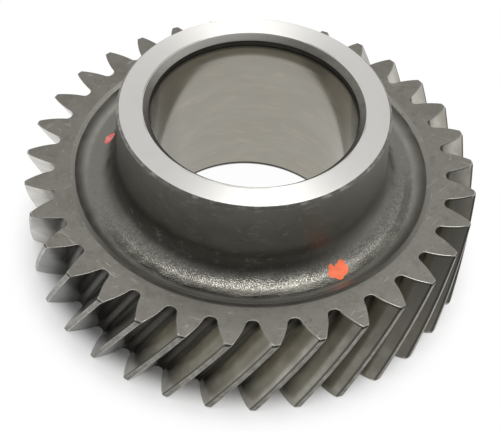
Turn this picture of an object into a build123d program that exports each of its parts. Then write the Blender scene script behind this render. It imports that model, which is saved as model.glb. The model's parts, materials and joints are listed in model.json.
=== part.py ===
"""A helical transmission gear: one steel forging, turned, hobbed and ground.

The gear lies on its underside. The origin is the centre of the underside, +Z is the
axis of the bore, and a tooth is centred on +X at the underside. Millimetres.
"""

import os
from math import acos, atan, cos, degrees, hypot, pi, radians, sin, sqrt, tan

from build123d import *

# The teeth
tooth_count = 33
normal_module = 4.0
helix_angle = 28.5
normal_pressure_angle = 20.0
addendum = 5.7
dedendum = 4.9
# How far out the cutter stands from its usual place, which makes the teeth thicker
profile_shift = 0.45
# What the tooth loses at the pitch circle, for backlash
tooth_thinning = 0.2
root_easing = 1.3
face_width = 37.2
# The bevel that the turned blank has on both ends of its outside edge
end_chamfer = 0.6

# The bore, ground for a row of needle rollers
bore_diameter = 72.0
bore_foot_chamfer = 1.5
# The turned relief above the ground wall, measured down from the hub's face
relief_step = 0.4
relief_depth = 4.5
bore_mouth_chamfer = 2.0

# The hub, whose ground ring is the thrust face
hub_height = 66.1
thrust_face_width = 8.1
hub_edge_chamfer = 0.9
hub_draft_angle = 1.5
# The hub's foot spreads into the recess in one wide round sweep
hub_foot_sweep = 9.7

# The rim that carries the teeth, and the forged recess between it and the hub
rim_thickness = 7.1
recess_depth = 3.2
recess_wall_run = 2.3
recess_corner_chamfer = 1.3
rim_bevel_width = 1.8
rim_bevel_depth = 0.45

# The underside: a flush ring at the bore, a flush rim and a turned relief between
underside_ring_width = 9.5
underside_relief_depth = 2.0
underside_relief_chamfer = 1.0

# How far the blank stands past the tooth tips before the teeth are cut
blank_stock = 1.0
# The most of the recess that the hub's foot may take
sweep_share = 0.75
# The middle weight of a curve that makes it a quarter of a circle
round_weight = sqrt(1 / 2)
# Chords along each flank, which stay within a tenth of a millimetre of the involute
flank_chords = 4

# The pitch circle and the base circle, in the plane across the axis
pitch_radius = tooth_count * normal_module / cos(radians(helix_angle)) / 2
pressure_angle = atan(tan(radians(normal_pressure_angle)) / cos(radians(helix_angle)))
base_radius = pitch_radius * cos(pressure_angle)
tip_radius = pitch_radius + addendum
root_radius = pitch_radius - dedendum
helix_lead = 2 * pi * pitch_radius / tan(radians(helix_angle))

bore_radius = bore_diameter / 2
relief_radius = bore_radius + relief_step
thrust_face_inner_radius = relief_radius + bore_mouth_chamfer
thrust_face_outer_radius = thrust_face_inner_radius + thrust_face_width
hub_radius = thrust_face_outer_radius + hub_edge_chamfer
hub_edge_height = hub_height - hub_edge_chamfer
recess_floor = face_width - recess_depth
hub_draft = tan(radians(hub_draft_angle))
hub_foot_radius = hub_radius + (hub_edge_height - recess_floor) * hub_draft
rim_inner_radius = root_radius - rim_thickness
recess_outer_radius = rim_inner_radius - recess_wall_run
underside_ring_radius = bore_radius + bore_foot_chamfer + underside_ring_width
blank_radius = tip_radius + blank_stock


def involute(angle):
    """The angle that an involute has run round its base circle at a pressure angle."""
    return tan(angle) - angle


# A tooth's thickness at the pitch circle, and half of the angle that it covers at the
# base circle
tooth_thickness = pi * pitch_radius / tooth_count - tooth_thinning
tooth_thickness += 2 * profile_shift * tan(pressure_angle)
base_half_angle = tooth_thickness / pitch_radius / 2 + involute(pressure_angle)


def flank_point(radius):
    """The point of a tooth's upper flank at a radius, with the tooth centred on +X."""
    half_angle = base_half_angle
    if radius > base_radius:
        half_angle -= involute(acos(base_radius / radius))
    return Vector(radius * cos(half_angle), radius * sin(half_angle))


def corner(sketch, radius, height):
    """The corner of the blank's half section at a radius and a height."""
    return sketch.vertices().sort_by_distance((radius, height))[0]


# One tooth across the axis. Its flank is an involute drawn in chords. The line that
# touches the base circle and unwinds the involute grows evenly from chord to chord. A
# root below the base circle is reached by a radial line.
shortest_line = sqrt(max(root_radius**2 - base_radius**2, 0))
longest_line = sqrt(tip_radius**2 - base_radius**2)
line_growth = (longest_line - shortest_line) / flank_chords
lines = [shortest_line + line_growth * step for step in range(flank_chords + 1)]
flank_radii = [hypot(base_radius, line) for line in lines]
if root_radius < base_radius:
    flank_radii.insert(0, root_radius)
flank = [flank_point(radius) for radius in flank_radii]
foot = flank[0]
tip = flank[-1]

with BuildSketch() as tooth:
    with BuildLine():
        Polyline(*flank)
        mirror(about=Plane.XZ)
        ThreePointArc(tip, (tip_radius, 0), (tip.X, -tip.Y))
        Line(foot, (foot.X, -foot.Y))
    make_face()

# All the teeth on the root circle, with their roots eased
with BuildSketch() as toothing:
    Circle(root_radius)
    with PolarLocations(0, tooth_count):
        add(tooth.sketch)
    chamfer(toothing.vertices().group_by(SortBy.DISTANCE)[0], root_easing)

with BuildLine() as gear_axis:
    Line((0, 0, 0), (0, 0, hub_height))

with BuildLine() as tooth_helix:
    Helix(pitch=helix_lead, height=hub_height, radius=pitch_radius)

# The sweep at the hub's foot, tangent to the hub's side and to the floor of the recess
foot_run = min(hub_foot_sweep, (recess_outer_radius - hub_foot_radius) * sweep_share)
sweep_top = (hub_foot_radius - foot_run * hub_draft, recess_floor + foot_run)
sweep_corner = (hub_foot_radius, recess_floor)
sweep_end = (hub_foot_radius + foot_run, recess_floor)

# The turned blank, as half of its section
with BuildSketch(Plane.XZ) as half_section:
    with BuildLine():
        Bezier(sweep_top, sweep_corner, sweep_end, weights=(1, round_weight, 1))
        Polyline(
            sweep_end,
            (recess_outer_radius, recess_floor),
            (rim_inner_radius, face_width - rim_bevel_depth),
            (rim_inner_radius + rim_bevel_width, face_width),
            (tip_radius - end_chamfer, face_width),
            (blank_radius, face_width - end_chamfer - blank_stock),
            (blank_radius, end_chamfer + blank_stock),
            (tip_radius - end_chamfer, 0),
            (rim_inner_radius, 0),
            (rim_inner_radius - underside_relief_chamfer, underside_relief_depth),
            (underside_ring_radius, underside_relief_depth),
            (underside_ring_radius, 0),
            (bore_radius + bore_foot_chamfer, 0),
            (bore_radius, bore_foot_chamfer),
            (bore_radius, hub_height - relief_depth),
            (relief_radius, hub_height - relief_depth),
            (relief_radius, hub_height - bore_mouth_chamfer),
            (thrust_face_inner_radius, hub_height),
            (thrust_face_outer_radius, hub_height),
            (hub_radius, hub_edge_height),
            sweep_top,
        )
    make_face()
    # The corner between the floor of the recess and its slanted wall
    chamfer(corner(half_section, recess_outer_radius, recess_floor), recess_corner_chamfer)

# The gear: the blank, with the teeth cut along the helix
with BuildPart() as helical_gear:
    add(half_section.sketch)
    revolve(axis=Axis.Z)
    sweep(
        toothing.sketch,
        path=gear_axis.line,
        binormal=tooth_helix.line.edges()[0],
        mode=Mode.INTERSECT,
    )

print("pitch diameter", round(2 * pitch_radius, 2), "tip diameter", round(2 * tip_radius, 2))
print("twist over the face", round(degrees(2 * pi * face_width / helix_lead), 2), "degrees")

os.makedirs("parts", exist_ok=True)
helical_gear.part.label = "helical_gear"
export_step(helical_gear.part, "parts/helical_gear.step")
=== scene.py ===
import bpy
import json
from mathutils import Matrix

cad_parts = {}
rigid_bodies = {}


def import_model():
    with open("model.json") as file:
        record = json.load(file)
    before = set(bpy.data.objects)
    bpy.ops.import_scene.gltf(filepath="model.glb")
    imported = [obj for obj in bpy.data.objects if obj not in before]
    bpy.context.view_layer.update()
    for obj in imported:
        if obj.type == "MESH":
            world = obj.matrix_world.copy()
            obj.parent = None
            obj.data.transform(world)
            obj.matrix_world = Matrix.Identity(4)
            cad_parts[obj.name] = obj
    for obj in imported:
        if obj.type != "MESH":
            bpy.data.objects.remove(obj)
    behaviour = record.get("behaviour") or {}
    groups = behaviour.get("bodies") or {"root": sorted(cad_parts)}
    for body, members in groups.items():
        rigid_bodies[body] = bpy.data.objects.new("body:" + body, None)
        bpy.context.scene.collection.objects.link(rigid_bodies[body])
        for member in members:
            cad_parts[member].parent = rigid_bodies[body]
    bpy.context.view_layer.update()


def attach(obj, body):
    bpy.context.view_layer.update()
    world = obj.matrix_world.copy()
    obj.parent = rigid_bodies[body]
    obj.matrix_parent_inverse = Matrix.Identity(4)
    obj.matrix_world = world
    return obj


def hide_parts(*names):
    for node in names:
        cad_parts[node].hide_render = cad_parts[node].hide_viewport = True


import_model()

"""The looks of a helical transmission gear: one forging with six surface finishes.

The gear is one closed mesh, worked out with numpy from the sizes of its blank and its
teeth. It lies on its underside with its bore on +Z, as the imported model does.
"""

import json
import logging
from collections.abc import Callable
from dataclasses import dataclass
from enum import Enum
from math import atan, cos, pi, radians, sin, tan

import bpy
import numpy as np
from mathutils import Matrix, Vector

log = logging.getLogger("gear")

MM = 0.001
FULL_TURN = 2 * pi
# Places nearer to each other than this, in millimetres, are the same
HAIR = 0.01

Colour = tuple[float, float, float]
# Where a mask starts and where it is full
Span = tuple[float, float]


# Shapes


class Zone(Enum):
    """The surface finishes of the gear, in the order of its material slots."""

    FORGED = 0
    TURNED = 1
    GROUND = 2
    RELIEF = 3
    BORE = 4
    FLANK = 5


@dataclass(frozen=True)
class Toothing:
    """The helical involute teeth, in millimetres and radians."""

    count: int = 33
    normal_module: float = 4.0
    helix_angle: float = radians(28.5)
    normal_pressure_angle: float = radians(20.0)
    addendum: float = 5.7
    dedendum: float = 4.9
    profile_shift: float = 0.45
    thinning: float = 0.2
    root_fillet: float = 2.0
    tip_rounding: float = 0.45
    face_width: float = 37.2
    end_chamfer: float = 0.6
    edge_break: float = 0.2
    # How far the flat of an end face is kept from its broken edge, and the flats of a
    # crest and a flank from their rounding
    flat_margin: float = 0.16
    # Points on the tip rounding, the flank and the root fillet
    rounding_points: int = 4
    flank_points: int = 8
    fillet_points: int = 5

    @property
    def pitch_radius(self) -> float:
        """Radius of the pitch circle."""
        return self.count * self.normal_module / cos(self.helix_angle) / 2

    @property
    def pressure_angle(self) -> float:
        """Pressure angle in the plane across the axis."""
        return atan(tan(self.normal_pressure_angle) / cos(self.helix_angle))

    @property
    def base_radius(self) -> float:
        """Radius of the circle that the involute unwinds from."""
        return self.pitch_radius * cos(self.pressure_angle)

    @property
    def tip_radius(self) -> float:
        """Radius over the tooth tips."""
        return self.pitch_radius + self.addendum

    @property
    def root_radius(self) -> float:
        """Radius at the bottom of the gaps."""
        return self.pitch_radius - self.dedendum

    @property
    def base_half_angle(self) -> float:
        """Half of the angle that a tooth covers at its base circle."""
        thickness = pi * self.pitch_radius / self.count - self.thinning
        thickness += 2 * self.profile_shift * tan(self.pressure_angle)
        at_pitch = thickness / self.pitch_radius / 2
        return at_pitch + tan(self.pressure_angle) - self.pressure_angle

    @property
    def twist_per_mm(self) -> float:
        """How far the teeth turn for each millimetre along the axis."""
        return tan(self.helix_angle) / self.pitch_radius

    def half_outline(self) -> np.ndarray:
        """Half a tooth across the axis, from the middle of its crest to the middle of a gap.

        The crest is an arc at the tip radius. A point of the flank is the end of a line
        that touches the base circle and is as long as the arc it has unwound. The tip
        rounding and the root fillet are arcs about the points where such a line, made
        shorter or longer by their radius, meets its own circle.

        Returns:
            The points, as rows of x and y, for a tooth centred on +X.
        """
        base = self.base_radius
        tip_centre = self.tip_radius - self.tip_rounding
        root_centre = self.root_radius + self.root_fillet
        tip_line = (tip_centre**2 - base**2) ** 0.5
        root_line = (root_centre**2 - base**2) ** 0.5
        longest = tip_line + self.tip_rounding
        shortest = root_line - self.root_fillet
        tip_touch = self.base_half_angle - longest / base
        root_touch = self.base_half_angle - shortest / base
        tip_angle = tip_touch + atan(tip_line / base)
        root_angle = root_touch + atan(root_line / base)

        flat_end = tip_angle - self.flat_margin / self.tip_radius
        crest = polar(self.tip_radius, np.array([0.0, flat_end]))
        turn = np.linspace(tip_angle, tip_touch + pi / 2, self.rounding_points)[:-1]
        rounding = polar(tip_centre, tip_angle) + polar(self.tip_rounding, turn)
        flat_start = longest - self.flat_margin * base / longest
        line = np.linspace(0, 1, self.flank_points)[:-1]
        line = flat_start + (shortest - flat_start) * line
        line = np.concatenate([[longest], line])
        touch = self.base_half_angle - line / base
        flank = polar(base, touch) + polar(line, touch + pi / 2)
        turn = np.linspace(root_touch - pi / 2, root_angle - pi, self.fillet_points)
        fillet = polar(root_centre, root_angle) + polar(self.root_fillet, turn)
        gap = polar(self.root_radius, pi / self.count)[None, :]
        return np.concatenate([crest, rounding, flank, fillet, gap])

    @property
    def outline(self) -> np.ndarray:
        """All the teeth across the axis at the underside, as rows of x and y."""
        half = self.half_outline()
        tooth = np.concatenate([half[:0:-1] * (1, -1), half[:-1]])
        place = np.arange(self.count) * FULL_TURN / self.count
        return (tooth[None, :, :] @ turn_matrices(place)).reshape(-1, 2)

    def ring(self, height: float, inset: float) -> np.ndarray:
        """The outline at a height: turned along the helix and cut back by the end chamfer.

        Args:
            height: Height above the underside.
            inset: How far the outline moves into the metal, square to itself.

        Returns:
            The points at that height, as rows of x, y and z.
        """
        outline = self.outline
        tangent = np.roll(outline, -1, axis=0) - np.roll(outline, 1, axis=0)
        flat = outline - inset * right_of(tangent)
        angle = np.arctan2(flat[:, 1], flat[:, 0]) + height * self.twist_per_mm
        from_end = min(height, self.face_width - height)
        limit = self.tip_radius - max(self.end_chamfer - from_end, 0.0)
        limit -= max(inset - self.edge_break, 0.0)
        radius = np.minimum(np.linalg.norm(flat, axis=1), limit)
        return level_ring(radius, height, angle)


@dataclass(frozen=True)
class Run:
    """A straight run of the blank's section, up to its end point."""

    radius: float
    height: float
    zone: Zone
    rounding: float = 0.0
    steps: int = 1


@dataclass(frozen=True)
class Blank:
    """The turned and forged blank between the two faces of the rim, in millimetres."""

    bore_radius: float = 36.0
    bore_foot_chamfer: float = 1.5
    relief_step: float = 0.4
    relief_depth: float = 4.5
    bore_mouth_chamfer: float = 2.0
    hub_height: float = 66.1
    thrust_face_width: float = 8.1
    hub_edge_chamfer: float = 0.9
    hub_draft_angle: float = radians(1.5)
    hub_foot_fillet: float = 9.7
    rim_thickness: float = 7.1
    recess_depth: float = 3.2
    recess_wall_run: float = 2.3
    recess_corner_fillet: float = 6.4
    rim_bevel_width: float = 1.8
    rim_bevel_depth: float = 0.45
    underside_ring_width: float = 9.5
    underside_relief_depth: float = 2.0
    underside_fillet: float = 1.0
    edge_break: float = 0.15

    def section(self, toothing: Toothing, rim_face_radius: float) -> tuple[Run, list[Run]]:
        """The blank's half section, from the rim's upper face round to its lower one.

        Args:
            toothing: The teeth, for the rim's width and root.
            rim_face_radius: Where the section starts and ends on the rim's faces.

        Returns:
            The starting point and the runs that follow it.
        """
        top = self.hub_height
        face = toothing.face_width
        relief = self.bore_radius + self.relief_step
        ring_inner = relief + self.bore_mouth_chamfer
        ring_outer = ring_inner + self.thrust_face_width
        hub = ring_outer + self.hub_edge_chamfer
        floor = face - self.recess_depth
        side = top - self.hub_edge_chamfer - floor
        hub_foot = hub + side * tan(self.hub_draft_angle)
        rim = toothing.root_radius - self.rim_thickness
        wall_foot = rim - self.recess_wall_run
        under_ring = self.bore_radius + self.bore_foot_chamfer + self.underside_ring_width
        edge = self.edge_break
        runs = [
            Run(rim + self.rim_bevel_width, face, Zone.TURNED, edge, 3),
            Run(rim, face - self.rim_bevel_depth, Zone.TURNED, edge * 2, 3),
            Run(wall_foot, floor, Zone.FORGED, self.recess_corner_fillet, 2),
            Run(hub_foot, floor, Zone.FORGED, self.hub_foot_fillet, 3),
            Run(hub, top - self.hub_edge_chamfer, Zone.FORGED, edge, 16),
            Run(ring_outer, top, Zone.TURNED, edge, 3),
            Run(ring_inner, top, Zone.GROUND, edge / 2, 5),
            Run(relief, top - self.bore_mouth_chamfer, Zone.TURNED, edge / 2, 3),
            Run(relief, top - self.relief_depth, Zone.RELIEF, edge / 2, 3),
            Run(self.bore_radius, top - self.relief_depth, Zone.RELIEF, edge / 2, 1),
            Run(self.bore_radius, self.bore_foot_chamfer, Zone.BORE, edge, 12),
            Run(self.bore_radius + self.bore_foot_chamfer, 0, Zone.TURNED, edge, 2),
            Run(under_ring, 0, Zone.TURNED, edge, 4),
            Run(under_ring, self.underside_relief_depth, Zone.TURNED, self.underside_fillet, 1),
            Run(rim, self.underside_relief_depth, Zone.TURNED, self.underside_fillet, 5),
            Run(rim, 0, Zone.TURNED, edge, 1),
            Run(rim_face_radius, 0, Zone.TURNED, 0.0, 3),
        ]
        return Run(rim_face_radius, face, Zone.TURNED), runs


def polar(radius: np.ndarray | float, angle: np.ndarray | float) -> np.ndarray:
    """Points from radii and angles: radius times cosine, and radius times sine."""
    return np.stack([radius * np.cos(angle), radius * np.sin(angle)], axis=-1)


def level_ring(radius: np.ndarray | float, height: float, angle: np.ndarray) -> np.ndarray:
    """A ring of points at one height, as rows of x, y and z."""
    return np.column_stack([polar(radius, angle), np.full(len(angle), height)])


def revolved(rows: np.ndarray, angle: np.ndarray) -> np.ndarray:
    """Rows of radius and height, each carried round the axis to its own row of angles.

    A point is its radius times the cosine and the sine of its angle, and its height.

    Args:
        rows: Rows of radius and height.
        angle: One row of angles for each of them.

    Returns:
        A grid of x, y and z.
    """
    level = np.broadcast_to(rows[:, 1:], angle.shape)
    return np.concatenate([polar(rows[:, :1], angle), level[:, :, None]], axis=-1)


def right_of(tangent: np.ndarray) -> np.ndarray:
    """Directions one unit long, a quarter turn to the right of rows of x and y."""
    outward = np.stack([tangent[:, 1], -tangent[:, 0]], axis=1)
    return outward / np.linalg.norm(outward, axis=1, keepdims=True)


def turn_matrices(angle: np.ndarray) -> np.ndarray:
    """One matrix for each angle, which turns rows of x and y from +X towards +Y."""
    c, s = np.cos(angle), np.sin(angle)
    return np.stack([np.stack([c, s], axis=-1), np.stack([-s, c], axis=-1)], axis=-2)


@dataclass(frozen=True)
class Corner:
    """A rounded corner of the section, between the corners before and after it."""

    before: np.ndarray
    corner: np.ndarray
    after: np.ndarray
    rounding: float
    # The arc's chords for each radian: a few, and more as the radius grows
    fewest: int = 2
    per_radian: float = 2.0
    growth: float = 1.2
    growth_power: float = 0.75

    def arc(self) -> tuple[np.ndarray, np.ndarray]:
        """The arc that takes the place of the corner.

        Its ends lie on the two runs at its radius times the tangent of half the turn
        from the corner, and its points are spaced evenly in angle.

        Returns:
            Where the arc starts, and its points after that.
        """
        into = (self.corner - self.before) / np.linalg.norm(self.corner - self.before)
        out = (self.after - self.corner) / np.linalg.norm(self.after - self.corner)
        turn = np.arctan2(into[0] * out[1] - into[1] * out[0], into @ out)
        reach = self.rounding * tan(abs(turn) / 2)
        start = self.corner - into * reach
        side = np.array([-into[1], into[0]]) * np.sign(turn)
        centre = start + side * self.rounding
        density = self.per_radian + self.growth * self.rounding**self.growth_power
        chords = max(self.fewest, round(abs(turn) * density) + 1)
        sweep = np.linspace(0, turn, chords + 1)[1:]
        arc = centre + (-side[None, :] * self.rounding) @ turn_matrices(sweep)
        return start, arc.reshape(-1, 2)


def rounded_section(start: Run, runs: list[Run]) -> tuple[np.ndarray, list[Zone]]:
    """The section as a chain of points, with an arc in place of each rounded corner.

    Args:
        start: The first point.
        runs: The runs, each with the rounding of the corner at its end.

    Returns:
        Rows of radius and height, and the finish of the span that ends at each.
    """
    corners = np.array([(run.radius, run.height) for run in [start, *runs]])
    points, zones = [corners[0]], [start.zone]
    begin = corners[0]
    for index, run in enumerate(runs, start=1):
        end, arc = corners[index], np.empty((0, 2))
        if run.rounding:
            end, arc = Corner(*corners[index - 1 : index + 2], run.rounding).arc()
        straight = begin + (end - begin) * np.linspace(0, 1, run.steps + 1)[1:, None]
        points.extend([*straight, *arc])
        following = runs[min(index, len(runs) - 1)].zone
        half = len(arc) // 2
        zones.extend([run.zone] * (len(straight) + half) + [following] * (len(arc) - half))
        begin = arc[-1] if len(arc) else end
    return np.array(points), zones


@dataclass(frozen=True)
class GearBody:
    """The whole gear as one closed mesh."""

    toothing: Toothing = Toothing()
    blank: Blank = Blank()
    coarse_per_tooth: int = 12
    face_rings: int = 18
    # How many end chamfers the first of the even rings stands from the end
    first_ring: float = 1.8
    # Where the rim's faces pass from the teeth's columns to the blank's
    fine_ring_radius: float = 68.7
    coarse_ring_radius: float = 67.2
    # How bright the edges of the end faces and of the tips are, as bare metal and as painted
    # highlight, and how much of a tip rounding's depth is bright
    end_wear_and_glint: float = 0.38
    tip_wear_and_glint: float = 0.8
    worn_share: float = 0.6
    # The lumps of the forged skin: their height, the lengths of their waves, the heights
    # between which the hub's side goes smooth, and the spans over which they fade
    lump_height: float = 0.06
    lump_count: int = 40
    lump_seed: int = 7
    lump_lengths: Span = (4.0, 16.0)
    lump_limits: Span = (44.0, 54.0)
    lump_fade: int = 7

    def tooth_rings(self) -> list[tuple[float, float, float]]:
        """Height, inset and edge brightness of each ring up the teeth.

        Both ends have a ring on the flat of the end face, three round its broken edge, which is
        bright as bare metal and with painted highlight, and one where the tip's bevel ends. The
        rest are even.

        Returns:
            The rings from the underside up.
        """
        edge = self.toothing.edge_break
        chamfer = self.toothing.end_chamfer
        width = self.toothing.face_width
        slant = edge * (1 - 0.5**0.5)
        low = [
            (0.0, edge + self.toothing.flat_margin, 0.0),
            (0.0, edge, self.end_wear_and_glint),
            (slant, slant, self.end_wear_and_glint),
            (edge, 0.0, self.end_wear_and_glint),
            (chamfer, 0.0, 0.0),
        ]
        first = chamfer * self.first_ring
        even = np.linspace(first, width - first, self.face_rings)
        middle = [(float(height), 0.0, 0.0) for height in even]
        high = [(width - height, inset, wear_and_glint) for height, inset, wear_and_glint in reversed(low)]
        return low + middle + high

    def tooth_wear_and_glint(self) -> np.ndarray:
        """How bright each point of the teeth is, as bare metal and painted highlight: the edges
        are, the flats aren't.

        A point is bright where its ring rounds an end face's edge, where its place in the
        outline is on a tip rounding, or where it is on the bevel at a tip's end, which is a
        painted glint.

        Returns:
            One value for each point of each ring.
        """
        teeth = self.toothing
        radius = np.linalg.norm(teeth.outline, axis=1)
        depth = teeth.tip_radius - radius
        rounded = (depth < self.worn_share * teeth.tip_rounding) & (depth > HAIR)
        crest = depth < teeth.tip_rounding
        height, _, edge_wear_and_glint = np.array(self.tooth_rings()).T
        from_end = np.minimum(height, teeth.face_width - height)
        near_end = (from_end > 0) & (from_end < teeth.end_chamfer + HAIR)
        # The bevel at a tip's end is bright all over: a painted glint
        bevel = near_end[:, None] & crest
        upper = np.clip((radius - teeth.root_radius) / teeth.dedendum, 0.0, 1.0)
        on_flat = (from_end == 0) & (edge_wear_and_glint == 0)
        tips = self.tip_wear_and_glint * (rounded & ~on_flat[:, None])
        return np.maximum.reduce([edge_wear_and_glint[:, None] * upper, tips, bevel])

    def lumps(self, points: np.ndarray) -> np.ndarray:
        """How uneven the forged skin is: a sum of plane waves in many directions.

        Args:
            points: Rows of x, y and z.

        Returns:
            One height for each point, about one in size.
        """
        draw = np.random.default_rng(self.lump_seed)
        direction = draw.normal(size=(self.lump_count, 3))
        direction /= np.linalg.norm(direction, axis=1, keepdims=True)
        length = draw.uniform(*self.lump_lengths, self.lump_count)
        phase = draw.uniform(0, FULL_TURN, self.lump_count)
        waves = np.sin(points @ (direction * FULL_TURN / length[:, None]).T + phase)
        return waves.sum(axis=1) / (self.lump_count / 2) ** 0.5

    def tooth_grid(self) -> tuple[np.ndarray, np.ndarray, list[Zone]]:
        """The rings of the teeth, with a circle on the rim's face before and after them.

        Returns:
            The points by ring and column, their brightness as bare metal and painted highlight,
            and the finish between the rings.
        """
        width = self.toothing.face_width
        outline = self.toothing.outline
        angle = np.arctan2(outline[:, 1], outline[:, 0])
        top_angle = angle + width * self.toothing.twist_per_mm
        rings = [level_ring(self.fine_ring_radius, 0.0, angle)]
        for height, inset, _ in self.tooth_rings():
            rings.append(self.toothing.ring(height, inset))
        rings.append(level_ring(self.fine_ring_radius, width, top_angle))
        end = [Zone.TURNED] * 2
        zones = end + [Zone.FLANK] * (len(rings) - 1 - 2 * len(end)) + end
        wear_and_glint = np.zeros((len(rings), len(outline)))
        wear_and_glint[1:-1] = self.tooth_wear_and_glint()
        return np.stack(rings), wear_and_glint, zones

    def blank_grid(self, first_angle: float) -> tuple[np.ndarray, list[Zone]]:
        """The blank's section carried round the axis, with the lumps of its forged skin.

        The columns lean, so that they stand beside the teeth's on both faces of the rim.

        Args:
            first_angle: Where the teeth's first column stands at the underside.

        Returns:
            The points by row and column, and the finish that ends at each row.
        """
        columns = self.toothing.count * self.coarse_per_tooth
        start, runs = self.blank.section(self.toothing, self.coarse_ring_radius)
        section, zones = rounded_section(start, runs)
        place = np.arange(columns) * FULL_TURN / columns + first_angle
        twist = self.toothing.face_width * self.toothing.twist_per_mm
        share = np.linspace(0, 1, len(section))[:, None]
        angle = (place + twist) * (1 - share) + place * share
        points = revolved(section, angle)
        outward = revolved(right_of(np.gradient(section, axis=0)), angle)
        forged = np.array([zone is Zone.FORGED for zone in zones], dtype=float)
        blur = np.full(self.lump_fade, 2 / self.lump_fade)
        forged = np.clip(np.convolve(forged, blur, mode="same") - 1, 0, 1)
        forged *= np.interp(section[:, 1], self.lump_limits, (1.0, 0.0))
        lift = self.lumps(points.reshape(-1, 3)).reshape(angle.shape)
        lift *= self.lump_height * forged[:, None]
        return points + lift[:, :, None] * outward, zones

    def build(self) -> bpy.types.Object:
        """Joins the grid of the teeth and the grid of the blank into one closed mesh.

        Returns:
            The gear's object, whose faces carry the number of their finish; it has no material
            slots yet.
        """
        teeth, wear_and_glint, tooth_zones = self.tooth_grid()
        blank, blank_zones = self.blank_grid(np.arctan2(teeth[0, 0, 1], teeth[0, 0, 0]))
        rings, fine = wear_and_glint.shape
        rows, coarse, _ = blank.shape
        first = rings * fine
        around, around_teeth = np.arange(coarse), np.arange(fine)
        top = joint_faces(first + around, first - fine + around_teeth)
        low = joint_faces(first + (rows - 1) * coarse + around, around_teeth)[:, ::-1]
        triangles = np.concatenate([top, low])
        quads = np.concatenate([grid_faces(rings, fine), grid_faces(rows, coarse) + first])
        zones = [
            np.repeat([zone.value for zone in tooth_zones], fine),
            np.repeat([zone.value for zone in blank_zones[1:]], coarse),
            np.full(len(triangles), Zone.TURNED.value),
        ]
        points = np.concatenate([teeth.reshape(-1, 3), blank.reshape(-1, 3)]) * MM
        wear_and_glint = np.concatenate([wear_and_glint.ravel(), np.zeros(rows * coarse)])
        return mesh_object("gear_body", points, quads, triangles, np.concatenate(zones), wear_and_glint)


def grid_faces(rows: int, columns: int) -> np.ndarray:
    """Quads of a grid that closes on itself along its columns.

    Args:
        rows: Rings in the grid.
        columns: Points in a ring.

    Returns:
        Four point numbers for each quad, in the order that faces it outwards.
    """
    row, column = np.meshgrid(np.arange(rows - 1), np.arange(columns), indexing="ij")
    following = (column + 1) % columns
    here, above = row * columns, (row + 1) * columns
    quads = [here + column, here + following, above + following, above + column]
    return np.stack(quads, axis=-1).reshape(-1, 4)


def joint_faces(coarse: np.ndarray, fine: np.ndarray) -> np.ndarray:
    """Triangles between a coarse ring and a ring with a whole number of times its points.

    Each step of the coarse ring is a fan: the fine points of its first half go to its
    start, those of its second half to its end, and one triangle joins the two fans.

    Args:
        coarse: Point numbers of the coarse ring.
        fine: Point numbers of the fine ring, which starts beside the coarse one.

    Returns:
        Three point numbers for each triangle, facing up where the coarse ring is inside.
    """
    ratio = len(fine) // len(coarse)
    step = np.arange(len(fine))
    owner = (step + ratio // 2) // ratio % len(coarse)
    fans = np.stack([coarse[owner], fine, np.roll(fine, -1)], axis=-1)
    middle = np.arange(len(coarse)) * ratio + (ratio + 1) // 2
    bridge = np.stack([coarse, fine[middle % len(fine)], np.roll(coarse, -1)], axis=-1)
    return np.concatenate([fans, bridge])


def mesh_object(
    name: str,
    points: np.ndarray,
    quads: np.ndarray,
    triangles: np.ndarray,
    zones: np.ndarray,
    wear_and_glint: np.ndarray,
) -> bpy.types.Object:
    """Puts whole arrays into a mesh and links its object.

    Args:
        name: Name of the object.
        points: Rows of x, y and z, in metres.
        quads: Four point numbers for each quad.
        triangles: Three point numbers for each triangle.
        zones: The material slot of each face, quads first.
        wear_and_glint: How bright each point is, as bare metal and painted highlight, kept in
            the attribute of that name.

    Returns:
        The object, shaded smooth.
    """
    mesh = bpy.data.meshes.new(name)
    loops = np.concatenate([quads.ravel(), triangles.ravel()]).astype(np.int32)
    sizes = np.concatenate([np.full(len(quads), 4), np.full(len(triangles), 3)])
    mesh.vertices.add(len(points))
    mesh.vertices.foreach_set("co", points.astype(np.float32).ravel())
    mesh.loops.add(len(loops))
    mesh.loops.foreach_set("vertex_index", loops)
    mesh.polygons.add(len(sizes))
    starts = np.concatenate([[0], np.cumsum(sizes)[:-1]]).astype(np.int32)
    mesh.polygons.foreach_set("loop_start", starts)
    mesh.polygons.foreach_set("material_index", zones.astype(np.int32))
    mesh.update(calc_edges=True)
    mesh.attributes.new("wear_and_glint", "FLOAT", "POINT").data.foreach_set("value", wear_and_glint)
    mesh.validate()
    mesh.shade_smooth()
    piece = bpy.data.objects.new(name, mesh)
    bpy.context.scene.collection.objects.link(piece)
    return piece


# Shader maths


def operators(operation: str) -> tuple[Callable[..., "Wire"], Callable[..., "Wire"]]:
    """Two methods that add a Math node: one for wire and other, one for other and wire.

    Args:
        operation: The Math node's operation.

    Returns:
        The operator's method and its reflected one.
    """

    def straight(wire: "Wire", other: "Wire | float") -> "Wire":
        """The wire first."""
        return wire.graph.maths(operation, wire, other)

    def reflected(wire: "Wire", other: "Wire | float") -> "Wire":
        """The wire last, as in 1 - mask."""
        return wire.graph.maths(operation, other, wire)

    return straight, reflected


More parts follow.
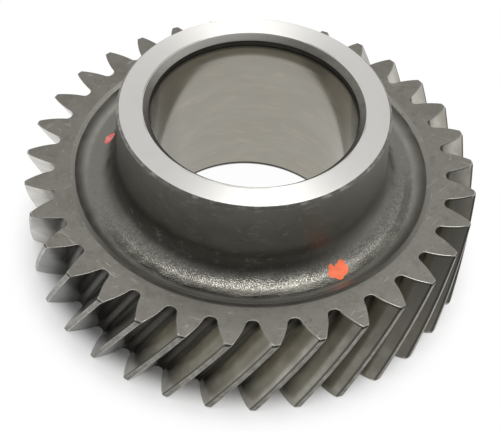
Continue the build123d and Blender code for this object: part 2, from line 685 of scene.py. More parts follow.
@dataclass(frozen=True)
class Wire:
    """A node's output, on which Python's operators add Math nodes."""

    graph: "Graph"
    socket: bpy.types.NodeSocket | None

    __add__, __radd__ = operators("ADD")
    __sub__, __rsub__ = operators("SUBTRACT")
    __mul__, __rmul__ = operators("MULTIPLY")
    __truediv__, __rtruediv__ = operators("DIVIDE")
    __pow__, __rpow__ = operators("POWER")

    def __abs__(self) -> "Wire":
        """This without its sign."""
        return self.graph.maths("ABSOLUTE", self)

    def beside(self, output: str) -> "Wire":
        """Another output of the same node."""
        return Wire(self.graph, self.socket.node.outputs[output])

    def ramp(self, low: float, high: float) -> "Wire":
        """Smoothly from 0 at low to 1 at high, or the other way where low is the larger.

        Args:
            low: The value that gives 0.
            high: The value that gives 1.

        Returns:
            The mask.
        """
        if low > high:
            return 1 - self.ramp(high, low)
        ends = {"Value": self, "From Min": low, "From Max": high}
        return self.graph.node("ShaderNodeMapRange", {"interpolation_type": "SMOOTHSTEP"}, ends)

    def band(self, low: float, high: float, soft: float) -> "Wire":
        """1 between low and high, falling to 0 within soft on both sides."""
        return self.ramp(low - soft, low) * self.ramp(high + soft, high)

    def between(self, low: float, high: float) -> "Wire":
        """A value that is low where this mask is 0, and high where it is 1."""
        return low + self * (high - low)

    def about(self, middle: float, swing: float) -> "Wire":
        """This noise, which lies about a half, moved to a middle and scaled by a swing."""
        return middle + (self - 0.5) * swing


@dataclass(frozen=True)
class Tone:
    """A colour, and how far it covers what lies under it where its mask is full."""

    colour: Colour
    cover: float = 1.0


class Graph:
    """The nodes of a material or of the world."""

    def __init__(self, tree: bpy.types.NodeTree) -> None:
        """Takes over an empty tree."""
        tree.nodes.clear()
        self.tree = tree

    def node(
        self,
        kind: str,
        settings: dict[str, object] | None = None,
        inputs: dict[str | int, object] | None = None,
        output: str | int = 0,
    ) -> Wire:
        """Adds one node.

        Args:
            kind: Blender's name of the node's type.
            settings: The node's own settings, which are made first.
            inputs: Values or wires, by the name or number of the socket.
            output: Name or number of the output that is wanted.

        Returns:
            That output, or an empty wire where the node has none.
        """
        made = self.tree.nodes.new(kind)
        for name, value in (settings or {}).items():
            setattr(made, name, value)
        for name, value in (inputs or {}).items():
            if isinstance(value, Wire):
                self.tree.links.new(value.socket, made.inputs[name])
            else:
                made.inputs[name].default_value = value
        return Wire(self, made.outputs[output] if made.outputs else None)

    def maths(self, operation: str, *values: Wire | float) -> Wire:
        """A Math node on values or wires."""
        return self.node("ShaderNodeMath", {"operation": operation}, dict(enumerate(values)))

    def vector(self, operation: str, *values: Wire | tuple, output: str = "Vector") -> Wire:
        """A Vector Math node on vectors or wires."""
        settings, inputs = {"operation": operation}, dict(enumerate(values))
        return self.node("ShaderNodeVectorMath", settings, inputs, output)

    def length(self, vector: Wire) -> Wire:
        """How long a vector is."""
        return self.vector("LENGTH", vector, output="Value")

    def axes(self, vector: Wire) -> tuple[Wire, Wire, Wire]:
        """The x, y and z of a vector."""
        x = self.node("ShaderNodeSeparateXYZ", inputs={"Vector": vector})
        return x, x.beside("Y"), x.beside("Z")

    def combined(self, x: Wire | float, y: Wire | float, z: Wire | float) -> Wire:
        """A vector of three values."""
        return self.node("ShaderNodeCombineXYZ", inputs={"X": x, "Y": y, "Z": z})

    def mixed(self, factor: Wire | float, low: Wire | Colour, high: Wire | Colour) -> Wire:
        """A colour between low, where factor is 0, and high, where it is 1."""
        ends = [end if isinstance(end, Wire) else (*end, 1.0) for end in (low, high)]
        inputs = {0: factor, 6: ends[0], 7: ends[1]}
        return self.node("ShaderNodeMix", {"data_type": "RGBA"}, inputs, 2)

    def layered(self, colour: Wire | Colour, *layers: tuple[Wire, Wire | Tone]) -> Wire:
        """A colour with others laid over it in turn.

        Args:
            colour: The colour at the bottom.
            layers: The mask of each layer, with its tone or its varying colour.

        Returns:
            What shows.
        """
        for mask, over in layers:
            if isinstance(over, Tone):
                mask, over = mask * over.cover, over.colour
            colour = self.mixed(mask, colour, over)
        return colour

    def noise(self, place: Wire, size: float, detail: float, rough: float = 0.5) -> Wire:
        """Cloudy noise about a half, with blotches of a size in the place's own units."""
        inputs = {"Vector": place, "Scale": 1 / size, "Detail": detail, "Roughness": rough}
        return self.node("ShaderNodeTexNoise", inputs=inputs)

    def cells(self, place: Wire, size: float) -> tuple[Wire, Wire]:
        """Scattered cells: how far their centre is, and a value drawn for each cell."""
        inputs = {"Vector": place, "Scale": 1 / size}
        distance = self.node("ShaderNodeTexVoronoi", inputs=inputs, output="Distance")
        drawn = {"Color": distance.beside("Color")}
        return distance, self.node("ShaderNodeSeparateColor", inputs=drawn)

    def end(self, kind: str, shader: Wire) -> None:
        """Ends the nodes in an output node of a kind."""
        self.node(kind, inputs={"Surface": shader})

    def metal(
        self,
        colour: Wire,
        roughness: Wire,
        height: Wire,
        metallic: Wire | float = 1.0,
        brushed: float = 0.0,
    ) -> None:
        """Ends the material in a metal surface.

        Args:
            colour: Colour of its reflection.
            roughness: How blurred the reflection is.
            height: Fine relief, in millimetres.
            metallic: 1 for bare metal, 0 for paint.
            brushed: How much rougher it is across fine grooves round the axis than
                along them.
        """
        normal = self.node("ShaderNodeBump", inputs={"Distance": MM, "Height": height})
        inputs = {
            "Base Color": colour,
            "Metallic": metallic,
            "Roughness": roughness,
            "Normal": normal,
            "Anisotropic": brushed,
            "Anisotropic Rotation": 0.25,
        }
        shader = self.node("ShaderNodeBsdfPrincipled", inputs=inputs)
        self.end("ShaderNodeOutputMaterial", shader)


# Masks


class Lie(Enum):
    """How a pattern lies: free, or drawn out round the axis on a level face or a wall."""

    FREE = 0
    FACE = 1
    WALL = 2


@dataclass(frozen=True)
class Clouds:
    """Cloudy noise, which is also the fine lines that a tool leaves where it is drawn out."""

    size: float
    detail: float
    rough: float = 0.5
    # The span of the noise that a mask takes
    span: Span = (0.0, 1.0)
    lie: Lie = Lie.FREE
    # How long a whole turn of the pattern is, as the radius of a circle: the smaller it
    # is, the longer the pattern is drawn out
    turn: float = 1.0

    def noise(self, places: "Places") -> Wire:
        """The noise itself, about a half."""
        place = places.lying(self.lie, self.turn)
        return places.graph.noise(place, self.size, self.detail, self.rough)

    def mask(self, places: "Places") -> Wire:
        """The blotches that the span takes."""
        return self.noise(places).ramp(*self.span)


class Places:
    """Where a point of the gear lies, in millimetres from the middle of the underside."""

    # The patches that break up the bright edges, the part of their brightness that shows, and
    # how bright it gets outside the patches and in them
    wear_patches = Clouds(3.5, 6.0, 0.7, (0.40, 0.62))
    wear_span: Span = (0.2, 1.0)
    wear_brightness: Span = (0.25, 0.95)

    def __init__(self, graph: Graph) -> None:
        """Adds the nodes that read Object coordinates and the edges' brightness."""
        coordinates = graph.node("ShaderNodeTexCoord", output="Object")
        self.graph = graph
        self.point = graph.vector("MULTIPLY", coordinates, (1 / MM,) * 3)
        self.x, self.y, self.height = graph.axes(self.point)
        self.radius = (self.x * self.x + self.y * self.y) ** 0.5
        self.wear_and_glint = graph.node("ShaderNodeAttribute", {"attribute_name": "wear_and_glint"}, output="Fac")

    def towards(self, angle: float) -> Wire:
        """1 straight out from the axis at an angle in degrees, -1 on the far side."""
        across = self.x * cos(radians(angle)) + self.y * sin(radians(angle))
        return across / self.radius

    def upward(self) -> Wire:
        """How far the surface faces up: 1 on level faces, 0 on upright ones."""
        return self.graph.axes(self.graph.node("ShaderNodeTexCoord", output="Normal"))[2]

    def lying(self, lie: Lie, turn: float) -> Wire:
        """The place that a pattern reads.

        Args:
            lie: How the pattern lies.
            turn: Radius of the circle that is as long as a whole turn of it.

        Returns:
            The point itself, or one that moves along a circle as it goes round the axis.
        """
        if lie is Lie.FREE:
            return self.point
        turned = self.radius / turn
        third = self.radius if lie is Lie.FACE else self.height
        return self.graph.combined(self.x / turned, self.y / turned, third)

    def worn_and_glinting(self) -> Wire:
        """How bright the edges are, as bare metal and painted highlight: the mesh's own
        attribute, broken up by patches.
        """
        patches = self.wear_patches.mask(self)
        return self.wear_and_glint.ramp(*self.wear_span) * patches.between(*self.wear_brightness)


@dataclass(frozen=True)
class Side:
    """A side of the gear, by its direction in degrees and the span of Places.towards."""

    angle: float
    span: Span

    def mask(self, places: Places) -> Wire:
        """1 on that side, 0 on the others."""
        return places.towards(self.angle).ramp(*self.span)


@dataclass(frozen=True)
class Specks:
    """Small dents scattered at random, each in a cell of its own."""

    size: float
    # How large a part of its cell the largest fills
    share: float
    # What moves the pattern
    seed: float
    # The draws that leave a cell empty and fill it most, and how soft a dent's edge is
    draws: Span = (0.55, 1.0)
    soft: float = 0.06

    def mask(self, places: Places) -> Wire:
        """1 in the middles of the dents, 0 between them."""
        moved = places.graph.vector("ADD", places.point, (self.seed,) * 3)
        distance, drawn = places.graph.cells(moved, self.size)
        reach = drawn.ramp(*self.draws) * self.share
        return (distance - reach).ramp(0.0, -self.soft)


@dataclass(frozen=True)
class Scratches:
    """Thin lines that run nearly straight: where stretched noise passes a half."""

    # Direction of the lines from +X, in degrees, and what moves the pattern
    turn: float
    seed: float
    stretch: float = 14.0
    size: float = 3.0
    # How far from a half the noise is at a line's edge and in its middle
    line: Span = (0.012, 0.003)
    # The patches that have lines
    patch_size: float = 9.0
    patch_span: Span = (0.55, 0.68)

    def mask(self, places: Places) -> Wire:
        """1 on the lines, in their patches."""
        graph = places.graph
        inputs = {"Vector": places.point, "Angle": radians(self.turn)}
        turned = graph.node("ShaderNodeVectorRotate", {"rotation_type": "Z_AXIS"}, inputs)
        drawn = graph.vector("MULTIPLY", turned, (1 / self.stretch, 1.0, 1.0))
        moved = graph.vector("ADD", drawn, (self.seed,) * 3)
        line = abs(graph.noise(moved, self.size, 1.0) - 0.5).ramp(*self.line)
        moved = graph.vector("ADD", places.point, (self.seed, 0, 0))
        return line * graph.noise(moved, self.patch_size, 1.0).ramp(*self.patch_span)


@dataclass(frozen=True)
class PaintDab:
    """A dab of marking paint, by its middle and its reach on the forged skin."""

    radius: float
    angle: float
    height: float
    reach: float
    colour: Colour
    ragged: float
    # How dark the paint is where it is thin
    thin: float = 0.84
    # Size and detail of the noise that pushes the edge in and out, how far it does, and
    # how soft the edge is
    edge_size: float = 2.4
    edge_detail: float = 3.0
    edge_push: float = 3.0
    edge_soft: float = 0.12

    def paint(self, uneven: Wire) -> Wire:
        """The paint's colour, darker where it is thin."""
        thin = tuple(value * self.thin for value in self.colour)
        return uneven.graph.mixed(uneven, self.colour, thin)

    def mask(self, places: Places) -> Wire:
        """1 inside the dab, by the distance from its middle."""
        middle = (*polar(self.radius, radians(self.angle)), self.height)
        away = places.graph.length(places.graph.vector("SUBTRACT", places.point, middle))
        noise = places.graph.noise(places.point, self.edge_size, self.edge_detail)
        away = away + (noise - 0.5) * self.ragged * self.edge_push
        return away.ramp(self.reach + self.edge_soft, self.reach - self.edge_soft)


# Finishes


@dataclass(frozen=True)
class ForgedSkin:
    """The forged and shot-blasted skin of the hub's side and the recess, with painted light and
    shade.
    """

    colour: Colour = (0.198, 0.193, 0.172)
    scale_colour: Colour = (0.175, 0.17, 0.148)
    pit_colour: Colour = (0.11, 0.106, 0.093)
    grain_colour: Colour = (0.222, 0.216, 0.193)
    wall_colour: Colour = (0.20, 0.194, 0.174)
    # The colour of painted light on the front of the recess wall, and of the scuffs there
    scuff_and_light_colour: Colour = (0.36, 0.35, 0.315)
    foot_shade_colour: Colour = (0.06, 0.058, 0.05)
    # Painted light on the side towards the lamp
    light: Tone = Tone((0.27, 0.262, 0.237), 0.6)
    # Painted shade at the hub's foot and on the far sides
    shade: Tone = Tone(foot_shade_colour)
    far: Tone = Tone(foot_shade_colour, 0.8)
    # Painted reflection of the dark hub on the recess floor
    ledge_hub_reflection: Tone = Tone((0.085, 0.082, 0.07), 0.75)
    clouds: Clouds = Clouds(9.0, 4.0, 0.6, (0.38, 0.62))
    # Where the grain's colours spread into a painted glint, the side with painted light towards
    # the lamp, and where the camera stands
    glint_side: Side = Side(-75.0, (-0.2, 0.7))
    lit_side: Side = Side(0.0, (0.3, 0.9))
    front_side: Side = Side(-95.0, (0.4, 0.95))
    # The blasted grain is faint above the first height and strong below the second
    grain: float = 0.42
    grain_fade: Span = (38.6, 35.6)
    grain_height: Span = (0.01, 0.07)
    dull_height: float = 0.25
    # The middle of the grains' colour, and how much of its spread is left away from the glinting
    # side: the spread is a painted glint
    glint: float = 0.6
    unlit_glint: float = 0.2
    # Painted shade at the hub's foot, between these heights: how far all round, how far on the
    # lamp's side, and how far at least in front
    shade_fade: Span = (50.0, 41.0)
    shade_cover: Span = (0.85, 0.05)
    front_shade: float = 0.3
    # Painted shade, above these heights, on the sides that neither glint nor face the lamp
    far_shade_rise: Span = (34.4, 36.3)
    # A painted reflection of the dark hub on the floor of the recess, between these radii, on
    # the front
    ledge_radii: Span = (55.9, 57.6)
    ledge_soft: float = 0.9
    ledge_side: Side = Side(-75.0, (0.1, 0.5))
    # Where the wall of the recess gets lighter in front: painted light, which the scuffs there
    # share
    wall_radii: Span = (57.9, 59.9)
    scuffs: Clouds = Clouds(1.6, 7.0, 0.75, (0.53, 0.68), Lie.WALL, 22.0)
    scuff_cover: float = 0.35
    side_roughness: float = 0.48
    foot_roughness: float = 0.24
    wall_roughness: float = 0.46
    paint_roughness: float = 0.5
    roughness_swing: float = 0.08
    # Paint fills most of the grain and stands proud, in millimetres
    paint_fill: float = 0.75
    paint_height: float = 0.05
    uneven_paint: Clouds = Clouds(2.6, 1.0, 0.5, (0.40, 0.62))
    orange: Colour = (0.96, 0.165, 0.05)
    dabs: tuple[PaintDab, ...] = (
        PaintDab(54.8, -57.5, 34.4, 2.3, orange, 0.5),
        PaintDab(54.9, -54.7, 34.4, 2.5, orange, 0.5),
        PaintDab(56.2, -56.8, 34.1, 1.9, orange, 0.5),
        PaintDab(52.7, -57.8, 35.4, 1.0, orange, 0.5),
        PaintDab(53.1, -53.4, 35.1, 1.2, orange, 0.5),
        PaintDab(53.9, 168.3, 34.8, 1.3, (0.72, 0.12, 0.11), 0.4),
        PaintDab(53.7, 166.5, 34.9, 1.6, (0.84, 0.24, 0.22), 0.4),
        PaintDab(53.4, 165.0, 35.0, 1.2, (0.74, 0.13, 0.12), 0.4),
    )

    def skin(self, places: Places, glint: Wire, foot: Wire, glinting: Wire) -> Wire:
        """The skin's colour without the paint, with its painted light, shade, glint and
        reflection.

        Args:
            places: Where the skin lies.
            glint: The value drawn for each grain.
            foot: Where the grain is strong.
            glinting: The side where the grains' colours spread into a painted glint and their
                bumps are strongest.

        Returns:
            The colour.
        """
        graph = places.graph
        light, front = self.lit_side.mask(places), self.front_side.mask(places)
        shade = places.height.ramp(*self.shade_fade) * light.between(*self.shade_cover)
        shade = graph.maths("MAXIMUM", shade, front * self.front_shade)
        far = places.height.ramp(*self.far_shade_rise) * (1 - glinting) * (1 - light)
        ledge_hub_reflection = places.radius.band(*self.ledge_radii, self.ledge_soft)
        ledge_hub_reflection = ledge_hub_reflection * self.ledge_side.mask(places)
        scuffs = self.scuffs.mask(places) * (1 - foot)
        wall = places.radius.ramp(*self.wall_radii)
        wear_and_painted_light = graph.maths("MAXIMUM", wall, scuffs * self.scuff_cover)
        glint = self.glint + (glint - self.glint) * glinting.between(self.unlit_glint, 1.0)
        # Painted light, shade, glint and hub reflection lie over the skin's own colour and its
        # grain
        return graph.layered(
            self.scale_colour,
            (self.clouds.mask(places), Tone(self.colour)),
            (light, self.light),
            (shade, self.shade),
            (foot, graph.mixed(glint, self.pit_colour, self.grain_colour)),
            (far, self.far),
            (ledge_hub_reflection, self.ledge_hub_reflection),
            (wear_and_painted_light, graph.mixed(front, self.wall_colour, self.scuff_and_light_colour)),
        )

    def dress(self, places: Places) -> None:
        """Adds grain, scale, clouds, the dabs of marking paint, and painted light, shade, glint
        and reflection.

        Args:
            places: Where the skin lies, in its own material.
        """
        graph, point = places.graph, places.point
        foot = places.height.ramp(*self.grain_fade)
        glinting = self.glint_side.mask(places)
        distance, glint = graph.cells(point, self.grain)
        height = graph.noise(point, self.grain, 1.0) + distance
        height = height * foot.between(*self.grain_height) * glinting.between(self.dull_height, 1.0)
        colour = self.skin(places, glint, foot, glinting)
        wall = places.radius.ramp(*self.wall_radii)
        rough = foot.between(self.side_roughness, self.foot_roughness)
        rough = rough + wall.between(0.0, self.wall_roughness - self.foot_roughness)
        rough = rough + self.clouds.noise(places).about(0.0, self.roughness_swing)
        bare = 1.0
        uneven = self.uneven_paint.mask(places)
        for dab in self.dabs:
            mask = dab.mask(places)
            colour = graph.mixed(mask, colour, dab.paint(uneven))
            height = height * mask.between(1.0, 1 - self.paint_fill) + mask * self.paint_height
            bare = bare * (1 - mask)
        rough = rough * bare + self.paint_roughness * (1 - bare)
        graph.metal(colour, rough, height, bare)


@dataclass(frozen=True)
class TurnedFace:
    """The turned faces of the rim and of the underside, with their marks of handling."""

    colour: Colour = (0.178, 0.170, 0.151)
    stain_colour: Colour = (0.125, 0.115, 0.10)
    bare_and_highlight_colour: Colour = (0.55, 0.54, 0.51)
    stain: Tone = Tone(stain_colour, 0.8)
    broad_stain: Tone = Tone(stain_colour, 0.4)
    bevel: Tone = Tone((0.185, 0.177, 0.157))
    smear: Tone = Tone(bare_and_highlight_colour, 0.3)
    dent: Tone = Tone(stain_colour, 0.8)
    score: Tone = Tone(bare_and_highlight_colour, 0.2)
    # Wear on the lip, and a painted highlight on the mouth chamfer
    wear_and_painted_light: Tone = Tone(bare_and_highlight_colour, 0.5)
    roughness: float = 0.42
    roughness_swing: float = 0.3
    marks: Clouds = Clouds(0.35, 2.0, lie=Lie.FACE, turn=4.0)
    mark_height: float = 0.007
    # The rim's handled face, and the bevel at its inner edge, by their radii
    rim_rise: Span = (61.5, 62.0)
    bevel_fade: Span = (65.1, 64.8)
    # The lip between the hub's side and its ground ring
    lip_radii: Span = (46.4, 46.55)
    lip_heights: Span = (65.0, 65.15)
    # A painted highlight on one side of the chamfer at the bore's mouth
    mouth_radii: Span = (38.9, 38.6)
    mouth_heights: Span = (63.8, 64.1)
    mouth_side: Side = Side(118.0, (0.55, 1.0))
    stains: Clouds = Clouds(3.5, 8.0, 0.75, (0.46, 0.70))
    broad_stains: Clouds = Clouds(13.0, 4.0, 0.6, (0.46, 0.66))
    smears: Clouds = Clouds(0.9, 4.0, 0.65, (0.60, 0.74), Lie.FACE, 9.0)
    lip_patches: Clouds = Clouds(1.8, 6.0, 0.75, (0.48, 0.66), Lie.FACE, 18.0)
    dents: Specks = Specks(1.6, 0.24, 3.0)
    dent_depth: float = 0.05
    scores: tuple[Scratches, Scratches] = (Scratches(25.0, 5.0), Scratches(-50.0, 11.0))
    score_depth: float = 0.008

    def dress(self, places: Places) -> None:
        """Adds turning marks, stains, small dents, a few scratches, bright edges that are partly
        painted highlight, and a painted highlight on the bore's mouth chamfer.

        Args:
            places: Where the faces lie, in their own material.
        """
        graph, height, radius = places.graph, places.height, places.radius
        rim = radius.ramp(*self.rim_rise)
        dents = self.dents.mask(places) * rim
        scores = (self.scores[0].mask(places) + self.scores[1].mask(places)) * rim
        mouth = height.ramp(*self.mouth_heights) * radius.ramp(*self.mouth_radii)
        lip = height.ramp(*self.lip_heights) * radius.ramp(*self.lip_radii)
        lip = lip * self.lip_patches.mask(places)
        colour = graph.layered(
            self.colour,
            (self.stains.mask(places), self.stain),
            (self.broad_stains.mask(places), self.broad_stain),
            (rim * radius.ramp(*self.bevel_fade), self.bevel),
            (self.smears.mask(places) * rim, self.smear),
            (dents, self.dent),
            (scores, self.score),
            (mouth * self.mouth_side.mask(places), self.wear_and_painted_light),
            (lip, self.wear_and_painted_light),
            (places.worn_and_glinting(), Tone(self.bare_and_highlight_colour)),
        )
        rough = self.stains.noise(places).about(self.roughness, self.roughness_swing)
        relief = self.marks.noise(places) * self.mark_height - dents * self.dent_depth
        graph.metal(colour, rough, relief - scores * self.score_depth)


@dataclass(frozen=True)
class GroundRing:
    """The ground thrust face, smooth and bright, with faint clouds."""

    colour: Colour = (0.635, 0.625, 0.60)
    cloud: Tone = Tone((0.615, 0.605, 0.58))
    stain: Tone = Tone((0.10, 0.07, 0.05), 0.8)
    roughness: float = 0.48
    roughness_swing: float = 0.06
    brushed: float = 0.82
    marks: Clouds = Clouds(0.2, 1.0, lie=Lie.FACE, turn=1.2)
    mark_height: float = 0.004
    clouds: Clouds = Clouds(11.0, 4.0, 0.6, (0.45, 0.75))
    dots: Specks = Specks(6.0, 0.06, 8.0)
    # A worn line just outside the ring's inner edge, half this wide and broken up
    line_radius: float = 38.75
    line_soft: float = 0.22
    line_patches: Clouds = Clouds(14.0, 1.0, 0.5, (0.42, 0.60))

    def dress(self, places: Places) -> None:
        """Adds the grinding marks round the ring, faint clouds, a worn line and a few specks.

        Args:
            places: Where the ring lies, in its own material.
        """
        graph = places.graph
        line = places.radius.band(self.line_radius, self.line_radius, self.line_soft)
        line = line * self.line_patches.mask(places)
        colour = graph.layered(
            self.colour,
            (self.clouds.mask(places), self.cloud),
            (line + self.dots.mask(places), self.stain),
        )
        rough = self.clouds.noise(places).about(self.roughness, self.roughness_swing)
        relief = self.marks.noise(places) * self.mark_height
        graph.metal(colour, rough, relief, brushed=self.brushed)


@dataclass(frozen=True)
class ReliefWall:
    """The dark turned relief between the ring's mouth and the ground bore."""

    colour: Colour = (0.05, 0.047, 0.04)
    oil: Tone = Tone((0.03, 0.026, 0.022), 0.4)
    clouds: Clouds = Clouds(6.0, 3.0, 0.5, (0.35, 0.7))
    roughness: float = 0.4
    roughness_swing: float = 0.1
    marks: Clouds = Clouds(0.4, 2.0, lie=Lie.WALL, turn=2.0)
    mark_height: float = 0.006

    def dress(self, places: Places) -> None:
        """Adds turning marks and the light and dark of old oil.

        Args:
            places: Where the wall lies, in its own material.
        """
        colour = places.graph.layered(self.colour, (self.clouds.mask(places), self.oil))
        rough = self.clouds.noise(places).about(self.roughness, self.roughness_swing)
        places.graph.metal(colour, rough, self.marks.noise(places) * self.mark_height)


@dataclass(frozen=True)
class BoreWall:
    """The honed wall of the bore, which mirrors its own far side and the floor."""

    colour: Colour = (0.31, 0.295, 0.255)
    edge_colour: Colour = (0.10, 0.093, 0.08)
    band: Tone = Tone((0.35, 0.335, 0.295), 0.6)
    wisp: Tone = Tone((0.39, 0.345, 0.285), 0.7)
    painted_dark_reflection: Tone = Tone(edge_colour, 0.5)
    edge: Tone = Tone(edge_colour, 0.8)
    bands: Clouds = Clouds(5.0, 5.0, 0.65, (0.35, 0.7), Lie.WALL, 12.0)
    wisps: Clouds = Clouds(2.2, 4.0, 0.6, (0.50, 0.75), Lie.WALL, 7.0)
    # The side where a painted dark reflection lies on the bore
    side: Side = Side(172.0, (0.80, 1.0))
    # The heights between which the wall darkens under the relief
    edge_rise: Span = (60.4, 61.4)
    roughness: float = 0.14
    roughness_swing: float = 0.06
    marks: Clouds = Clouds(0.5, 3.0, 0.6, lie=Lie.WALL, turn=2.0)
    mark_height: float = 0.0006

    def dress(self, places: Places) -> None:
        """Adds faint lines round the bore, soft bands and wisps, and a painted dark reflection
        on one side.

        Args:
            places: Where the wall lies, in its own material.
        """
        colour = places.graph.layered(
            self.colour,
            (self.bands.mask(places), self.band),
            (self.wisps.mask(places), self.wisp),
            (self.side.mask(places), self.painted_dark_reflection),
            (places.height.ramp(*self.edge_rise), self.edge),
        )
        rough = self.bands.noise(places).about(self.roughness, self.roughness_swing)
        places.graph.metal(colour, rough, self.marks.noise(places) * self.mark_height)


@dataclass(frozen=True)
class ToothFlank:
    """The shaved and hardened flanks, roots and crests of the teeth, with painted shade on some
    sides, in the roots and along the crests.
    """

    colour: Colour = (0.52, 0.507, 0.462)
    crest_colour: Colour = (0.16, 0.152, 0.132)
    crest_worn_colour: Colour = (0.27, 0.26, 0.232)
    oil: Tone = Tone((0.42, 0.402, 0.352))
    # Painted shade on the teeth of the front-right, darker on the front-left, and on the outer
    # flanks that face up
    painted_flank_shade: Tone = Tone((0.20, 0.19, 0.158))
    painted_dark_flank_shade: Tone = Tone((0.10, 0.097, 0.088), 0.9)
    # Painted shade in the roots of the gaps
    root: Tone = Tone((0.055, 0.051, 0.043))
    gap_end_shade: Tone = Tone((0.02, 0.018, 0.015), 0.85)
    end: Tone = Tone((0.20, 0.193, 0.172))
    # Bright edges: bare metal, with a painted highlight along them
    worn_and_glinting: Tone = Tone((0.68, 0.67, 0.63))
    crest_edge_shade: Tone = Tone((0.075, 0.07, 0.06), 0.8)
    clouds: Clouds = Clouds(8.0, 4.0, 0.6, (0.38, 0.66))
    crest_patches: Clouds = Clouds(3.0, 7.0, 0.75, (0.40, 0.62))
    # The sides where painted shade lies on the teeth, and how strong it is in its clouds
    flank_shade_side: Side = Side(-38.0, (0.6, 0.95))
    dark_flank_shade_side: Side = Side(-144.0, (0.91, 0.975))
    flank_shade_depth: Span = (0.6, 1.2)
    # Painted shade also lies on the outer part of the flanks that face up
    upper_slope: Span = (0.12, 0.3)
    outer_radii: Span = (74.5, 79.5)
    outer_flank_shade: float = 0.5
    # Where the painted shade in the roots fades
    root_shade_fade: Span = (71.8, 70.6)
    # Painted shade, darkest at the upper ends of the gaps
    gap_end_fade: Span = (72.6, 71.2)
    gap_end_rise: Span = (31.5, 36.0)
    crest_radii: Span = (80.45, 80.65)
    # Painted shade between crest and flank, on the flanks that face up
    crease_slope: Span = (0.2, 0.36)
    crease_radii: Span = (79.8, 80.25)
    # Half of the face width, and how far from it the end faces' edges start
    middle: float = 18.6
    end_rise: Span = (18.3, 18.48)
    roughness: float = 0.22
    roughness_swing: float = 0.2
    root_roughness: float = 0.15
    crest_roughness: float = 0.1
    marks: Clouds = Clouds(1.2, 3.0, 0.6, lie=Lie.WALL, turn=30.0)
    mark_height: float = 0.0006

    def dress(self, places: Places) -> None:
        """Adds clouds of oil, dark crests, painted shade on the roots, gap ends, crest edges and
        some sides, and bright edges that are partly painted highlight.

        Args:
            places: Where the teeth lie, in their own material.
        """
        graph, radius = places.graph, places.radius
        clouds, slope = self.clouds.noise(places), places.upward()
        crest, root = radius.ramp(*self.crest_radii), radius.ramp(*self.root_shade_fade)
        upper = slope.ramp(*self.upper_slope) * radius.ramp(*self.outer_radii)
        painted_flank_shade = self.flank_shade_side.mask(places)
        painted_flank_shade = graph.maths("MAXIMUM", painted_flank_shade, upper * self.outer_flank_shade)
        gap_end_shade = radius.ramp(*self.gap_end_fade) * places.height.ramp(*self.gap_end_rise)
        patches = self.crest_patches.mask(places)
        end = abs(places.height - self.middle).ramp(*self.end_rise)
        crest_edge_shade = slope.ramp(*self.crease_slope) * radius.ramp(*self.crease_radii) * (1 - end)
        colour = graph.layered(
            self.colour,
            (clouds.ramp(*self.clouds.span), self.oil),
            (painted_flank_shade * clouds.between(*self.flank_shade_depth), self.painted_flank_shade),
            (self.dark_flank_shade_side.mask(places), self.painted_dark_flank_shade),
            (root, self.root),
            (gap_end_shade, self.gap_end_shade),
            (crest, graph.mixed(patches, self.crest_colour, self.crest_worn_colour)),
            (end, self.end),
            (places.worn_and_glinting() * (1 - crest_edge_shade), self.worn_and_glinting),
            (crest_edge_shade, self.crest_edge_shade),
        )
        rough = clouds.about(self.roughness, self.roughness_swing)
        rough = rough + root * self.root_roughness + crest * self.crest_roughness
        graph.metal(colour, rough, self.marks.noise(places) * self.mark_height)


FINISHES = {
    Zone.FORGED: ForgedSkin(),
    Zone.TURNED: TurnedFace(),
    Zone.GROUND: GroundRing(),
    Zone.RELIEF: ReliefWall(),
    Zone.BORE: BoreWall(),
    Zone.FLANK: ToothFlank(),
}


def dress_gear(gear: bpy.types.Object) -> None:
    """Gives the gear one material for each zone, in the order of its faces' slots.

    Args:
        gear: The gear's object.
    """
    for zone, finish in FINISHES.items():
        material = bpy.data.materials.new(f"{zone.name.lower()}_steel")
        material.use_nodes = True
        finish.dress(Places(Graph(material.node_tree)))
        gear.data.materials.append(material)


# Studio


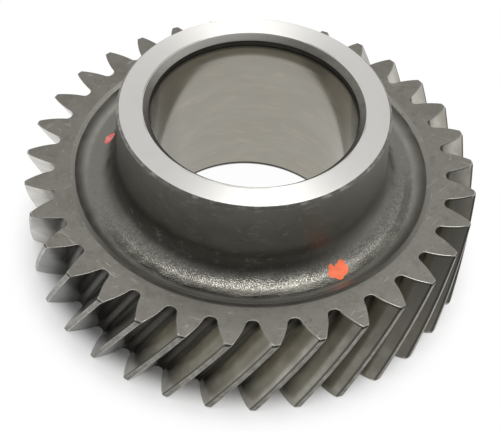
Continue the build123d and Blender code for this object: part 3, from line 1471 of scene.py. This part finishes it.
@dataclass(frozen=True)
class Studio:
    """A white table, a pale room and one soft lamp overhead, in metres."""

    floor_half_width: float = 4.0
    floor_drop: float = 0.00005
    floor_white: float = 0.95
    # How much of the table's white is its own, close to the gear and away from it
    near_glow: float = 0.5
    open_glow: float = 0.97
    # The distances from the axis between which the table starts to glow: under the teeth,
    # outside the gear and, inwards, in its bore, where the glow is painted light on the table
    # that the gear shades
    rim_span: Span = (0.072, 0.081)
    open_span: Span = (0.081, 0.093)
    bore_span: Span = (0.03672, 0.03618)
    lamp_height: float = 1.4
    lamp_width: float = 0.7
    lamp_power: float = 10.5
    lamp_back: float = 0.08
    lamp_right: float = 0.14
    room_strength: float = 0.95
    room_front: float = 0.15
    # How much looking up counts beside looking back, and where the room gets light
    room_up: float = 0.5
    room_span: Span = (-0.75, 0.35)

    def floor(self) -> bpy.types.Object:
        """A flat table top, white where nothing shades it, and in the gear's bore, where its
        glow is painted light.

        Returns:
            The floor's object.
        """
        half = self.floor_half_width
        corners = [(-half, -half), (half, -half), (half, half), (-half, half)]
        mesh = bpy.data.meshes.new("floor")
        mesh.from_pydata([(x, y, -self.floor_drop) for x, y in corners], [], [(0, 1, 2, 3)])
        top = bpy.data.objects.new("floor", mesh)
        bpy.context.scene.collection.objects.link(top)
        material = bpy.data.materials.new("white_table")
        material.use_nodes = True
        self.dress_floor(Graph(material.node_tree))
        mesh.materials.append(material)
        return top

    def dress_floor(self, graph: Graph) -> None:
        """Ends the floor's material in matt white that partly glows by itself.

        Args:
            graph: The material's nodes.
        """
        radius = graph.length(graph.node("ShaderNodeTexCoord", output="Object"))
        # Near the gear the glow lifts half of its shadow, and in the bore it is painted light
        # over the gear's shade
        glow = radius.ramp(*self.rim_span) * self.near_glow
        glow = glow + radius.ramp(*self.open_span) * (self.open_glow - self.near_glow)
        glow = glow + radius.ramp(*self.bore_span) * self.open_glow
        white = (*[self.floor_white] * 3, 1.0)
        matt = graph.node("ShaderNodeBsdfDiffuse", inputs={"Color": white})
        light = graph.node("ShaderNodeEmission", inputs={"Strength": 1.0})
        inputs = {0: self.seen_rays(graph) * glow, 1: matt, 2: light}
        shader = graph.node("ShaderNodeMixShader", inputs=inputs)
        graph.end("ShaderNodeOutputMaterial", shader)

    @staticmethod
    def seen_rays(graph: Graph) -> Wire:
        """1 for the rays that show the background: straight, mirrored or let through."""
        camera = graph.node("ShaderNodeLightPath", output="Is Camera Ray")
        either = graph.maths("MAXIMUM", camera, camera.beside("Is Glossy Ray"))
        return graph.maths("MAXIMUM", either, camera.beside("Is Transmission Ray"))

    def room(self) -> None:
        """The room's light: even overhead and behind, a little lower on the camera's side."""
        world = bpy.data.worlds.new("room")
        world.use_nodes = True
        bpy.context.scene.world = world
        graph = Graph(world.node_tree)
        _, back, up = graph.axes(graph.node("ShaderNodeTexCoord", output="Generated"))
        level = (back + up * self.room_up).ramp(*self.room_span).between(self.room_front, 1.0)
        inputs = {"Color": (1.0, 1.0, 1.0, 1.0), "Strength": level * self.room_strength}
        graph.end("ShaderNodeOutputWorld", graph.node("ShaderNodeBackground", inputs=inputs))

    def lamp(self) -> None:
        """One square lamp that hangs over the gear and shines straight down."""
        light = bpy.data.lights.new("overhead", "AREA")
        light.shape = "SQUARE"
        light.size = self.lamp_width
        light.energy = self.lamp_power
        hung = bpy.data.objects.new("overhead", light)
        hung.location = (self.lamp_right, self.lamp_back, self.lamp_height)
        bpy.context.scene.collection.objects.link(hung)

    def set_up(self) -> None:
        """Makes the floor, the room's light and the lamp."""
        self.floor()
        self.room()
        self.lamp()
        bpy.context.scene.view_settings.view_transform = "Standard"


@dataclass(frozen=True)
class Viewpoint:
    """The camera, fitted to the tips of the teeth, in millimetres and radians."""

    back: float = 323.5
    height: float = 371.5
    pan: float = 0.0019
    tilt: float = 0.8418
    roll: float = 0.0593
    turn: float = radians(-1.01)
    focal_pixels: float = 1292.0
    image_width: int = 500
    sensor_width: float = 36.0

    def set_up(self) -> None:
        """Makes the camera: pan and tilt point it, roll leans it, and the whole is turned."""
        forward = Vector((*polar(cos(self.tilt), pi / 2 - self.pan), -sin(self.tilt)))
        level = Vector((cos(self.pan), -sin(self.pan), 0.0))
        upward = level.cross(forward)
        right = cos(self.roll) * level + sin(self.roll) * upward
        up = cos(self.roll) * upward - sin(self.roll) * level
        axes = Matrix((right, up, -forward)).transposed().to_4x4()
        place = Matrix.Translation(Vector((0.0, -self.back, self.height)) * MM)
        lens = bpy.data.cameras.new("viewpoint")
        lens.sensor_fit = "HORIZONTAL"
        lens.sensor_width = self.sensor_width
        lens.lens = self.sensor_width * self.focal_pixels / self.image_width
        camera = bpy.data.objects.new("viewpoint", lens)
        camera.matrix_world = Matrix.Rotation(self.turn, 4, "Z") @ place @ axes
        bpy.context.scene.collection.objects.link(camera)
        bpy.context.scene.camera = camera


def main() -> None:
    Viewpoint().set_up()
    Studio().set_up()
    log.info("camera, table and light are set up")
    gear = GearBody().build()
    dress_gear(gear)
    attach(gear, "root")
    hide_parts("helical_gear")
    log.info("gear body: %d faces", len(gear.data.polygons))


if __name__ == "__main__":
    logging.basicConfig(level=logging.INFO)
    main()
